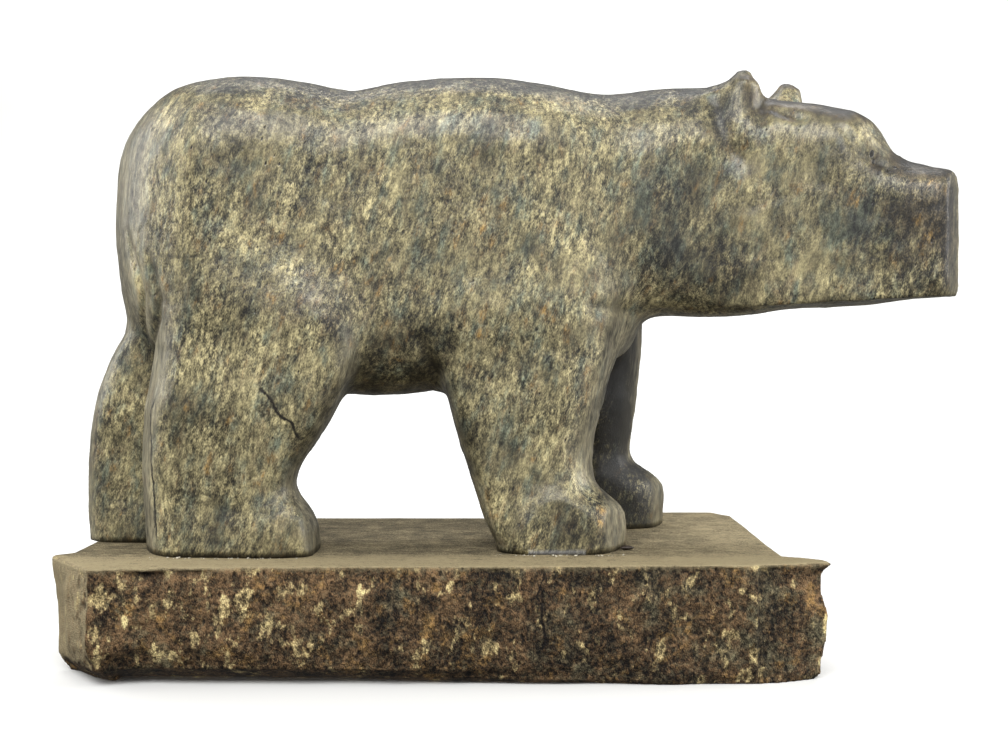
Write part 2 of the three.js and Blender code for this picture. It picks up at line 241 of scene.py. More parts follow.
def round_through(piece, mesh):
    """Rounds a faceted mesh so that the smooth surface still passes through its corners."""
    piece.modifiers.new("round_facets", "SUBSURF").levels = 1
    corners = np.empty(len(mesh.vertices) * 3, np.float32)
    mesh.vertices.foreach_get("co", corners)
    control = corners.copy()
    for _ in range(PUSH_ROUNDS):
        rounded = piece.evaluated_get(bpy.context.evaluated_depsgraph_get()).data
        reached = np.empty(len(rounded.vertices) * 3, np.float32)
        rounded.vertices.foreach_get("co", reached)
        control += corners - reached[: len(corners)]
        mesh.vertices.foreach_set("co", control)
        mesh.update()
        bpy.context.view_layer.update()


def fine_copy(name, node, grain, settling, rounded=False):
    """An evenly fine, closed mesh of a CAD node: grain is the mesh's step in metres."""
    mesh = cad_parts[node].data.copy()
    mesh.materials.clear()
    joined = bmesh.new()
    joined.from_mesh(mesh)
    bmesh.ops.remove_doubles(joined, verts=joined.verts, dist=WELD * MM)
    creases = joined.edges.layers.float.new("crease_edge")
    for edge in joined.edges:
        edge[creases] = float(edge.calc_face_angle(0.0) > SHARP)
    joined.to_mesh(mesh)
    joined.free()
    piece = bpy.data.objects.new(name, mesh)
    bpy.context.scene.collection.objects.link(piece)
    if rounded:
        round_through(piece, mesh)
    even = piece.modifiers.new("even_grain", "REMESH")
    even.mode = "VOXEL"
    even.voxel_size = grain
    even.use_smooth_shade = True
    piece.modifiers.new("settle", "SMOOTH").iterations = settling
    shaped = piece.evaluated_get(bpy.context.evaluated_depsgraph_get())
    fine = bpy.data.meshes.new_from_object(shaped)
    fine.name = name
    piece.modifiers.clear()
    piece.data = fine
    bpy.data.meshes.remove(mesh)
    return piece


def inside_frame(points, node):
    """Keeps points within the CAD node's box."""
    low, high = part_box(node)
    return np.clip(points, np.array(low) / MM, np.array(high) / MM)


# ---- The bear's surface ----


def head_place(points):
    """Points as along, across and up in the turned head."""
    x = points[:, 0] - HEAD_ORIGIN[0]
    y = points[:, 1] - HEAD_ORIGIN[1]
    cos, sin = math.cos(HEAD_TURN), math.sin(HEAD_TURN)
    return np.stack([x * cos - y * sin, x * sin + y * cos, points[:, 2]], axis=1)


def head_world(place):
    """The reverse of head_place."""
    cos, sin = math.cos(HEAD_TURN), math.sin(HEAD_TURN)
    x = place[:, 0] * cos + place[:, 1] * sin + HEAD_ORIGIN[0]
    y = place[:, 1] * cos - place[:, 0] * sin + HEAD_ORIGIN[1]
    return np.stack([x, y, place[:, 2]], axis=1)


# The head's underside and the muzzle's end are ground flat. Sizes are in mm, and a pair is
# where something starts and where it is whole.
HEAD_START = (-14, -4)  # along the turned head
JAW_CORNER = 87  # x
JAW_FLOOR = 121.4  # the flat's height at the jaw's corner
JAW_RISE = 0.045  # its rise for each mm on from there
JAW_DROP = 2.8  # how far the stone over the flat is drawn down to it
JAW_FADE = (3, 9)  # over the flat
MUZZLE_DRAW = 1.6  # how far the muzzle is drawn out before its end is cut
MUZZLE_START = (54, 61)  # along the turned head
MUZZLE_END = 63.9


def grind_head(points):
    """Grinds the head's underside and muzzle end flat, which leaves crisp edges."""
    place = head_place(points)
    along, up = place[:, 0], place[:, 2]
    floor = JAW_FLOOR + JAW_RISE * (points[:, 0] - JAW_CORNER)
    on_head = smooth(along, *HEAD_START)
    push = JAW_DROP * on_head * (1 - smooth(up - floor, *JAW_FADE))
    place[:, 2] = np.where(on_head > 0, np.maximum(up - push, np.minimum(floor, up)), up)
    place[:, 0] += MUZZLE_DRAW * smooth(along, *MUZZLE_START)
    place[:, 0] = np.minimum(place[:, 0], MUZZLE_END)
    return head_world(place)


# Each line drawn on the stone is a few points on its surface, in mm.
TAIL_LEFT_GROOVE = [
    (-129.5, -28, 150), (-128, -30, 141), (-124.6, -32.5, 131), (-123.3, -32.5, 125),
    (-124.3, -29, 120), (-126.5, -22, 114), (-127, -17.5, 104),
]
TAIL_RIGHT_GROOVE = [
    (-120.5, -37, 140), (-117.6, -39, 130.5), (-115.8, -39.5, 123), (-116.5, -36.5, 116.5),
    (-121, -26, 109), (-124.6, -17, 104),
]
THROAT_CREASE = [(22, -35, 121), (31, -33.5, 120.3), (39, -26, 119.9), (46.5, -18, 119.5)]
ELBOW_CREASE = [(-31, -38.5, 114), (-27.6, -35.6, 106), (-25.5, -31, 99), (-23, -24.6, 92)]
EAR_HOLLOW = [
    (71.6, -18, 197), (72.2, -23.3, 191), (73.2, -25.6, 185.3), (75.3, -27, 178.8),
    (78.4, -27, 173), (83, -27.5, 165),
]
EAR_FOOT = [(88.5, -16, 191.5), (88.4, -22, 190.5), (88.6, -25.4, 186.5), (87, -27.2, 181)]
BROW_FOLD = [(89, -21.5, 191), (93.7, -26, 187.9), (98.1, -29.1, 185.6), (104.4, -31.2, 183.9)]
BROW_EDGE = [
    (109.7, -32.9, 182.9), (112.8, -34.9, 180.8), (114.9, -35.9, 177.3), (116.7, -36.5, 173.8),
    (118.6, -36.9, 171.7), (124.4, -36.7, 168.6), (131.9, -39.2, 165.2),
]

# The carved lines, each with its width and depth in mm.
VALLEYS = [
    (TAIL_LEFT_GROOVE, 1.8, 1.3),
    (TAIL_RIGHT_GROOVE, 1.8, 1.4),
    (THROAT_CREASE, 2.4, 1.2),
    (ELBOW_CREASE, 2.6, 1.4),
    (EAR_HOLLOW, 4.2, 2.4),
    (EAR_FOOT, 2.3, 1.4),
    (BROW_FOLD, 2.0, 1.1),
    (BROW_EDGE, 1.8, 0.9),
]

THIGH_CRACK = [
    (-81.2, -47.1, 95.6), (-79.3, -47.1, 92.5), (-76.7, -47.1, 89.3), (-75.4, -46.9, 86),
    (-73.2, -46.7, 84), (-70.6, -46.7, 82.6), (-68.6, -45.2, 78), (-67.4, -44.2, 76.6),
    (-65, -42.6, 79),
]
REAR_CRACK = [
    (-115.6, -41, 93), (-119.5, -37.4, 85), (-118.3, -39.6, 74.7), (-117.7, -39.6, 61.7),
    (-117.1, -39.3, 51.4), (-115.9, -40.1, 38.5),
]
FLANK_SCRATCH = [(-109.2, -43.7, 60.2), (-101.6, -43.8, 59.5), (-93.8, -43.7, 57.9)]
HIP_SCRATCH = [(-112, -43, 137.2), (-105.5, -46.5, 136.4), (-98, -48, 136.6)]
RUMP_SCRATCH = [(-116, -39.6, 175.9), (-116.3, -40.7, 167.5), (-115, -42, 159)]
NECK_SCRATCH = [(66.5, -22.5, 186), (68, -24, 178), (66.8, -24.4, 170)]
# The cracks and scratches, each with how dark it is.
BEAR_CRACKS = [
    (THIGH_CRACK, 1.0), (REAR_CRACK, 0.95), (FLANK_SCRATCH, 0.6), (HIP_SCRATCH, 0.45),
    (RUMP_SCRATCH, 0.5), (NECK_SCRATCH, 0.4),
]

# Where the stone changes: each patch's middle and reach in mm, and how strongly. A patch below
# 0 in DARK_PATCHES is paler. DARK_PATCHES also paints shade on the far foreleg and light on the
# tail.
GREEN_PATCHES = [
    ((50, -28, 158), (17, 30, 24), 0.75), ((60, -26, 136), (22, 20, 14), 0.5),
    ((112, -37, 146), (14, 25, 20), 0.8), ((120, -38, 156), (8, 20, 12), 0.6),
    ((3, -36, 82), (9, 20, 20), 0.7), ((13, -36, 55), (14, 20, 14), 0.6),
    ((-8, -35, 112), (16, 15, 12), 0.35), ((-3, -36, 183), (22, 30, 12), 0.3),
    ((-72, -45, 72), (11, 20, 16), 0.45), ((-112, -44, 45), (22, 20, 14), 0.25),
    ((74, -24, 168), (10, 20, 22), 0.3), ((34, -34, 100), (12, 30, 30), 0.3),
]
BROWN_PATCHES = [
    ((142, -43, 146), (17, 25, 26), 1.1), ((124, -37, 168), (12, 12, 8), 0.8),
    ((96, -28, 132), (30, 20, 12), 0.4), ((86, -24, 193), (9, 14, 12), 0.9),
    ((-55, -44, 120), (34, 22, 20), 0.3), ((132, -41, 150), (9, 16, 20), 0.6),
]
OCHRE_PATCHES = [
    ((-87, -47, 142), (5, 12, 8), 0.8), ((-91, -47, 150), (4, 12, 9), 0.4),
    ((32, -37, 50), (8, 12, 9), 0.75), ((134.8, -44.2, 148.2), (3.5, 10, 4), 1.0),
    ((135.4, -44.4, 140.6), (5, 10, 6), 0.9), ((138, -44, 134), (4, 10, 4), 0.6),
    ((-58, -46, 132), (20, 12, 12), 0.25), ((126, -38, 167), (3, 8, 3), 0.8),
]
DARK_PATCHES = [
    ((62, -26, 136), (36, 25, 24), 1.3), ((54, -28, 160), (17, 25, 28), 1.2),
    ((130, -40, 146), (30, 25, 36), 1.8), ((146, -46, 146), (14, 25, 34), 1.9),
    ((14, -37, 46), (34, 20, 12), 0.45), ((-46, -40, 108), (26, 20, 16), 0.45),
    ((73.5, -24, 186), (6, 12, 14), 1.6), ((-95, -44, 44), (34, 20, 10), 0.3),
    ((-30, -36, 130), (6, 14, 16), 0.3), ((99, -27, 187), (14, 10, 3.5), 0.9),
    # Next line: the last patch is painted shade on the far foreleg's near side.
    ((87.5, -24, 186), (3, 8, 8), 0.9), ((46, 14, 76), (24, 22, 62), 5.0),
    ((92, -28, 168), (24, 20, 16), -0.2), ((4, -38, 124), (34, 20, 24), -0.35),
    ((-84, -46, 168), (30, 20, 20), -0.3), ((-84, -46, 62), (20, 20, 12), -0.3),
    # Next line: the first patch is painted light that makes the tail paler.
    ((-124, -30, 126), (12, 14, 34), -2.4), ((-85, -46, 75), (30, 20, 34), -0.3),
]
PITTED_PATCHES = [
    ((120, -37, 171.2), (9, 9, 4.5), 2.0), ((129, -39, 166), (10, 9, 3.5), 1.6),
    ((146, -42, 156), (4, 12, 14), 1.2), ((-90, -46, 168), (34, 16, 20), 0.45),
    ((136, -43, 143), (9, 10, 14), 0.9), ((110, -33, 181), (6, 8, 3), 0.6),
]
CALM_PATCHES = [
    ((104, -20, 190), (34, 34, 12), 0.9), ((96, -30, 150), (46, 22, 40), 0.45),
    ((60, -28, 160), (26, 24, 30), 0.35), ((-10, -30, 60), (90, 30, 30), 0.2),
]


def strength(points, patches):
    """How strongly a list of patches marks each point."""
    total = np.zeros(len(points))
    for centre, reach, power in patches:
        total += power * blob(points, centre, reach)
    return total


def valleys(points, normals):
    """How deep the carved lines go at each point, in mm."""
    depth = np.zeros(len(points))
    for path, width, deepest in VALLEYS:
        off, share = follow(points, normals, path)
        hollow = deepest * tapered(share, 0.2, 0.3) * np.exp(-((off / width) ** 2))
        depth = np.maximum(depth, hollow)
    return depth


EAR_SCOOP = 0.5  # mm
EAR_HEIGHT = (185, 190)  # mm, the heights over which the ears start
EAR_FRONT = (3, 12)  # mm along the turned head over which the scoop ends
EAR_FACING = (0.2, 0.7)  # how far forward a face has to point to be scooped


def scoop_ears(points, normals):
    """Hollows the ears' front faces a little."""
    place = head_place(points)
    facing = normals[:, 0] * math.cos(HEAD_TURN) - normals[:, 1] * math.sin(HEAD_TURN)
    on_ear = smooth(place[:, 2], *EAR_HEIGHT) * smooth(facing, *EAR_FACING)
    return EAR_SCOOP * on_ear * (1 - smooth(place[:, 0], *EAR_FRONT))


# Faces planed flat on the near forepaw, which leave an upright arris: each one's middle and
# reach in mm, a point on its plane and the plane's outward direction.
PLANED_FACES = [
    ((16, -38, 49), (30, 14, 16), (20, -38.5, 48), (0, -1, 0.03)),
    ((35, -30, 48), (14, 18, 15), (33.7, -35.5, 46), (0.86, -0.5, 0.1)),
]
PLANED_DEPTH = 3.0  # mm that the plane takes off at most
PLANED_EDGE = 0.3  # share of a patch over which it fades in


def plane_faces(points):
    """Planes the paw's faces."""
    for centre, reach, place, outward in PLANED_FACES:
        outward = np.array(outward) / np.linalg.norm(outward)
        proud = np.clip((points - np.array(place)) @ outward, 0, PLANED_DEPTH)
        inside = smooth(blob(points, centre, reach), 0.0, PLANED_EDGE)
        points = points - outward * (proud * inside)[:, None]
    return points


# Depth and size in mm and seed of each wave that rasps and sandpaper leave.
WAVES = ((0.22, 30, 11), (0.1, 6, 12), (0.05, 2.6, 13))
FLAT_DEPTH, FLAT_SIZE = 0.16, 17  # mm
PIT_DEPTH, PIT_SIZE = 0.5, 3.6  # mm
PIT_REACH = 0.45  # a pit's radius as a share of its cell
MOST_PITTED = 1.2  # overlapping patches deepen the pits no further


def hand_relief(points):
    """The unevenness that rasps and sandpaper leave, in mm."""
    waves = sum(depth * lumps(points, size, seed) for depth, size, seed in WAVES)
    flats = FLAT_DEPTH * facets(points, FLAT_SIZE, seed=21, tilt=0.6)
    pits = 1 - smooth(nearest_seed(points, PIT_SIZE, seed=14), 0.0, PIT_REACH)
    pitted = np.minimum(strength(points, PITTED_PATCHES), MOST_PITTED)
    return waves + flats + PIT_DEPTH * pitted * pits


def crack_fields(points, normals, cracks):
    """The nearest crack's signed distance in mm, and its strength."""
    offset = np.full(len(points), FAR)
    power = np.zeros(len(points))
    for path, darkness in cracks:
        off, share = follow(points, normals, path)
        closer = np.abs(off) < np.abs(offset)
        offset = np.where(closer, off, offset)
        power = np.where(closer, darkness * tapered(share, 0.1, 0.12), power)
    return offset, power


FOOT_SEAT = 1.1  # mm of each foot that is pressed flat on the slab


def carved(points, normals, depth):
    """The bear's points with its lines, ears, tool marks and flat soles."""
    relief = valleys(points, normals) + scoop_ears(points, normals) + hand_relief(points)
    points = points - normals * (depth * relief)[:, None]
    points[:, 2] = np.where(points[:, 2] < SLAB_TOP + FOOT_SEAT, SLAB_TOP, points[:, 2])
    return points


HOLLOW_ROUNDS = 22  # of smoothing, which find hollows some 8 mm wide
SEAM = (SLAB_TOP + 0.4, SLAB_TOP + 2.2)  # mm, the heights over which the glue line's dirt fades
HEAD_ALONG = (-12, 4)  # mm along the turned head over which its own finish starts
HEAD_HEIGHT = (110, 120)  # mm, the heights over which it starts
CHEST = (20, 40)  # x in mm over which the belly's shade ends

# How squarely a face has to point up, down or along the bear for the stone to change there, and for
# painted shade on its top and underside.
PLANED_FACING = (0.45, 0.8)
TOP_SHADE_FACING = (0.5, 0.97)
UNDER_FACING = (0.1, 0.7)
END_FACING = (0.5, 0.9)


def bear_fields(mesh):
    """What the soapstone's shader reads: where the carving is planed, worn or dirty, and where
    painted shade darkens it.
    """
    points, normals = read(mesh)
    offset, power = crack_fields(points, normals, BEAR_CRACKS)
    along = head_place(points)[:, 0]
    on_head = smooth(along, *HEAD_ALONG) * smooth(points[:, 2], *HEAD_HEIGHT)
    planed = on_head * smooth(normals[:, 2], *PLANED_FACING)
    seam = 1 - smooth(points[:, 2], *SEAM)
    # Painted shade: tops are darkened, and undersides as far as the chest.
    painted_top_shade = smooth(normals[:, 2], *TOP_SHADE_FACING)
    under = smooth(-normals[:, 2], *UNDER_FACING) * (1 - smooth(points[:, 0], *CHEST))
    ends = smooth(np.abs(normals[:, 0]), *END_FACING)
    return {
        "crack_offset": offset,
        "crack_power": power,
        "hollow": hollowness(mesh, points, normals, HOLLOW_ROUNDS) + 1.6 * seam,
        "green": strength(points, GREEN_PATCHES),
        "brown": strength(points, BROWN_PATCHES) + 1.2 * planed,
        "ochre": strength(points, OCHRE_PATCHES),
        # dark: the stone's darker and paler clouds, with painted shade on the tops, the undersides
        # and the far foreleg, and painted light on the tail.
        "dark": strength(points, DARK_PATCHES) + 2.4 * painted_top_shade + 1.4 * under,
        "rubbed": 0.8 * ends * (1 - 0.7 * on_head),
        "calm": strength(points, CALM_PATCHES) + 0.8 * planed,
        "pitted": strength(points, PITTED_PATCHES),
    }


# ---- The slab's surface ----

SLAB_CRACK = [
    (11.6, -61.5, 38), (11, -61.5, 34), (9.6, -61.3, 28.6), (10.9, -61.4, 26), (10.9, -61.4, 22),
    (11.8, -61.4, 18), (12.2, -61.2, 13),
]
SLAB_NICK = [(-27.5, -62, 38), (-22.5, -62, 33.4)]
SLAB_CRACKS = [(SLAB_CRACK, 1.0), (SLAB_NICK, 0.3)]

# Chips and stains: each patch's middle and reach in mm, and how deep or how strong.
SLAB_SPALLS = [((-112, -65, 36), (9, 7, 4.5), 2.0), ((-100, -65, 37), (9, 6, 3), 1.2)]
SLAB_OCHRE = [
    ((-116, -64, 30), (7, 8, 7), 0.6), ((-80, -63, 26), (9, 8, 9), 0.5),
    ((24, -61, 26), (20, 8, 14), 0.35), ((96, -52, 20), (10, 12, 16), 0.5),
    ((-20, -62, 14), (20, 8, 10), 0.25), ((40, -60, 12), (20, 8, 10), 0.25),
]
SLAB_CREAM = [
    ((-86, -63, 26), (12, 8, 8), 0.9), ((-113, -64, 12), (8, 8, 10), 0.9),
    ((-127, -66, 26), (4, 8, 12), 0.7), ((-102, -63, 15), (7, 8, 7), 0.6),
    ((-53, -62, 20), (8, 8, 6), 0.8), ((-38, -62, 28), (6, 8, 7), 0.6),
    ((30, -61, 31), (7, 8, 7), 0.6), ((60, -60, 18), (14, 8, 12), 0.3),
    ((44, -60, 20), (5, 8, 5), 0.4),
]

# Depth and size in mm and seed of the flat breaks, then of the grains between them.
BREAKS = ((0.35, 7, 31), (0.22, 3.2, 41))
GRAINS = (0.16, 2.2, 51)
SLAB_PIT_DEPTH, SLAB_PIT_SIZE = 0.5, 3.4  # mm
SLAB_PIT_REACH = 0.42  # a pit's radius as a share of its cell


def split_relief(points):
    """Broken-stone relief in mm: small flat breaks, grains and pits."""
    relief = sum(depth * (1 + facets(points, size, seed)) for depth, size, seed in BREAKS)
    depth, size, seed = GRAINS
    pits = 1 - smooth(nearest_seed(points, SLAB_PIT_SIZE, seed=71), 0.0, SLAB_PIT_REACH)
    return relief + depth * (1 + lumps(points, size, seed)) + SLAB_PIT_DEPTH * pits


# How squarely a face has to point up or down to be top or side, and along to be the left end.
TOP_FACING = (0.6, 0.9)
SIDE_FACING = (0.5, 0.85)
LEFT_END_FACING = (0.5, 0.8)

# Where the slab changes, in mm along it.
LEFT_THIN, RIGHT_THIN = (-146, -132), (74, 92)
STEP_START, STEP_END = (79, 80.6), (82, 98)
LEFT_PART, MIDDLE, RIGHT_FACET = (-100, -40), (-60, 0), (88, 96)
MOSSY, DUSTY = (15, 60), (40, 80)

# And across it, then up.
FRONT_EDGE = (-50, -32)
NEAR_TOP, ARRIS = (SLAB_TOP - 4, SLAB_TOP - 1), (SLAB_TOP - 2.4, SLAB_TOP - 0.4)

THIN_CALM = 0.85  # how much of the broken relief the thin ends are spared
STEP_DEPTH = 1.5  # mm
RUB_DEPTH, RUB_SIZE = 0.08, 9  # mm
SLAB_HOLLOW_ROUNDS = 8  # of smoothing, which find hollows some 4 mm wide


def faces_of_slab(points, normals):
    """How much each point belongs to the rubbed top and to the split sides."""
    top = smooth(normals[:, 2], *TOP_FACING) * smooth(points[:, 2], *NEAR_TOP)
    return top, 1 - smooth(np.abs(normals[:, 2]), *SIDE_FACING)


def split(points, normals, top, side, depth):
    """The slab's points with broken sides, a step near the right end and a rubbed top."""
    x = points[:, 0]
    thin = smooth(x, *RIGHT_THIN) + 1 - smooth(x, *LEFT_THIN)
    rough = side * (1 - THIN_CALM * thin) * split_relief(points) + strength(points, SLAB_SPALLS)
    rough += RUB_DEPTH * top * (1 + lumps(points, RUB_SIZE, seed=61))
    rough += STEP_DEPTH * side * smooth(x, *STEP_START) * (1 - smooth(x, *STEP_END))
    return points - normals * (depth * rough)[:, None]


def slab_fields(mesh, top, side):
    """What the schist's shader reads: where the slab is rubbed, stained or dirty, and where dust
    and painted light make it lighter.
    """
    points, normals = read(mesh)
    x, y, z = points.T
    offset, power = crack_fields(points, normals, SLAB_CRACKS)
    end = smooth(-normals[:, 0], *LEFT_END_FACING) * side
    left = side * (1 - smooth(x, *LEFT_PART))
    arris = side * smooth(z, *ARRIS)
    front = 1 - smooth(y, *FRONT_EDGE)
    middle = side * smooth(x, *MIDDLE)
    right_facet = side * smooth(x, *RIGHT_FACET)
    return {
        "crack_offset": offset,
        "crack_power": power,
        "hollow": hollowness(mesh, points, normals, SLAB_HOLLOW_ROUNDS),
        "rubbed": top + 0.8 * end + 0.4 * arris,
        # Dust and painted light: lighter along the top's front edge and on the left end, and
        # lighter towards the right.
        "dust_and_painted_light": 1.1 * front + 0.45 * smooth(x, *DUSTY) + 1.1 * end,
        "ochre": strength(points, SLAB_OCHRE),
        "cream": strength(points, SLAB_CREAM) + 0.45 * arris + 0.4 * left,
        "moss": 0.6 * smooth(x, *MOSSY),
        "dark": strength(points, SLAB_SPALLS) + 0.3 * middle - 1.1 * right_facet - 0.5 * left,
    }


# ---- Finishes ----


def add(tree, kind, sockets=None, stops=None, **settings):
    """Adds one node: its settings, its sockets' values or links, and a ramp's stops.

    A node given as a value is linked by its first output in use.
    """
    made = tree.nodes.new(kind)
    for name, value in settings.items():
        setattr(made, name, value)
    for key, value in (sockets or {}).items():
        if isinstance(value, bpy.types.Node):
            value = next(output for output in value.outputs if output.enabled)
        if isinstance(value, bpy.types.NodeSocket):
            tree.links.new(value, made.inputs[key])
        else:
            made.inputs[key].default_value = value
    if stops:
        elements = made.color_ramp.elements
        while len(elements) < len(stops):
            elements.new(1.0)
        for element, (place, colour) in zip(elements, stops):
            element.position = place
            element.color = colour
    return made


# A colour Mix node's sockets.
SHARE, FROM, TO = 0, 6, 7


def blank_material(name):
    """A new material with an empty node tree."""
    material = bpy.data.materials.new(name)
    material.use_nodes = True
    material.node_tree.nodes.clear()
    return material, material.node_tree


def in_mm(tree, squeeze=(1, 1, 1), lean=(0, 0, 0)):
    """The object's own coordinates in mm, leaned and squeezed for a stretched pattern."""
    place = add(tree, "ShaderNodeTexCoord").outputs["Object"]
    sockets = {"Vector": place, "Rotation": lean, "Scale": (1 / MM,) * 3}
    turned = add(tree, "ShaderNodeMapping", sockets)
    return add(tree, "ShaderNodeMapping", {"Vector": turned, "Scale": squeeze})


def tone_of(tree, patterns):
    """Sums (place, size in mm, detail, weight) patterns into one tone about 0.5.

    A pattern is soft noise, or hard-edged flakes where its detail is None.
    """
    tone = 0.5 - sum(weight for *_, weight in patterns) / 2
    for place, size, detail, weight in patterns:
        sockets = {"Vector": place, "Scale": 1 / size}
        if detail is None:
            pattern = add(tree, "ShaderNodeTexVoronoi", sockets).outputs["Color"]
        else:
            pattern = add(tree, "ShaderNodeTexNoise", {**sockets, "Detail": detail})
        sockets = {0: pattern, 1: weight, 2: tone}
        tone = add(tree, "ShaderNodeMath", sockets, operation="MULTIPLY_ADD")
    return tone


def mask_of(tree, place, size, gain, bias, field):
    """A patchy mask from 0 to 1: noise about 0 times a gain, plus a bias and a mesh's field."""
    sockets = {"Vector": place, "Scale": 1 / size, "Detail": 4.0, "Roughness": 0.65}
    noise = add(tree, "ShaderNodeTexNoise", sockets)
    drawn = add(tree, "ShaderNodeAttribute", attribute_name=field).outputs["Fac"]
    level = add(tree, "ShaderNodeMath", {0: drawn, 1: bias - gain / 2}, operation="ADD")
    sockets = {0: noise, 1: gain, 2: level}
    return add(tree, "ShaderNodeMath", sockets, operation="MULTIPLY_ADD", use_clamp=True)


STOP_PLACES = (0.06, 0.25, 0.4, 0.5, 0.61, 0.76, 0.95)
STOP_GAMMA = 2.2  # makes even steps of tone look even


def stops_of(colour, contrast):
    """A ramp's stops through a colour: darker and lighter by a contrast."""
    stops = []
    for place in STOP_PLACES:
        factor = max(0.0, 1 + contrast * (place - 0.5)) ** STOP_GAMMA
        stops.append((place, (*(min(1.0, share * factor) for share in colour), 1.0)))
    return stops


def layered(tree, tone, colour, layers):
    """Lays minerals over a colour in patches.

    Each layer is its colour and contrast, the place, size in mm, gain and bias of its patches
    and the mesh's field that steers them.
    """
    for shade, contrast, place, size, gain, bias, field in layers:
        over = add(tree, "ShaderNodeValToRGB", {0: tone}, stops_of(shade, contrast))
        share = mask_of(tree, place, size, gain, bias, field)
        sockets = {SHARE: share, FROM: colour, TO: over}
        colour = add(tree, "ShaderNodeMix", sockets, data_type="RGBA")
    return colour


# How the stones' patterns lie: squeezed along an axis, which draws them out there, and leaned.
GRAIN, GRAIN_LEAN = (1, 1, 0.45), (0, math.radians(-15), 0)
STREAKS, STREAKS_LEAN = (1, 1, 0.12), (0, math.radians(-6), 0)
UPRIGHT = (1, 1, 0.6)
DRAG, DRAG_LEAN = (0.1, 1, 1), (0, 0, math.radians(5))

STONE_IOR = 1.55  # talc and chlorite
MOST_DIRT_AND_SHADE = 0.8  # the stone shows a little through settled dirt and painted shade
SHELTER = 70 * MM  # how near the stone round a place has to be to shelter it from light, for painted shade
SPECK_STEP, PIT_STEP = 2.6, 2.3  # mm


def crack_line(tree, place, wander, sharpness):
    """How dark the cracks drawn on the mesh are: thin lines that wander by some mm.

    A line turns every 3.5 mm or so and gapes and closes every 1.8 mm. Real ones are 0.1 to
    0.3 mm wide, and these are drawn about 1 mm wide, with soft edges, so that they show.
    """
    offset, power = (
        add(tree, "ShaderNodeAttribute", attribute_name=field).outputs["Fac"]
        for field in ("crack_offset", "crack_power")
    )
    noise = add(tree, "ShaderNodeTexNoise", {"Vector": place, "Scale": 1 / 3.5, "Detail": 4.0})
    sockets = {0: noise, 1: wander, 2: -wander / 2}
    away = add(tree, "ShaderNodeMath", sockets, operation="MULTIPLY_ADD")
    gap = add(tree, "ShaderNodeMath", {0: offset, 1: away}, operation="ADD")
    gap = add(tree, "ShaderNodeMath", {0: gap}, operation="ABSOLUTE")
    gape = add(tree, "ShaderNodeTexNoise", {"Vector": place, "Scale": 1 / 1.8})
    gape = add(tree, "ShaderNodeMath", {0: gape, 1: 3.2, 2: -0.1}, operation="MULTIPLY_ADD")
    sockets = {0: gap, 1: -sharpness, 2: gape}
    line = add(tree, "ShaderNodeMath", sockets, operation="MULTIPLY_ADD", use_clamp=True)
    return add(tree, "ShaderNodeMath", {0: line, 1: power}, operation="MULTIPLY")


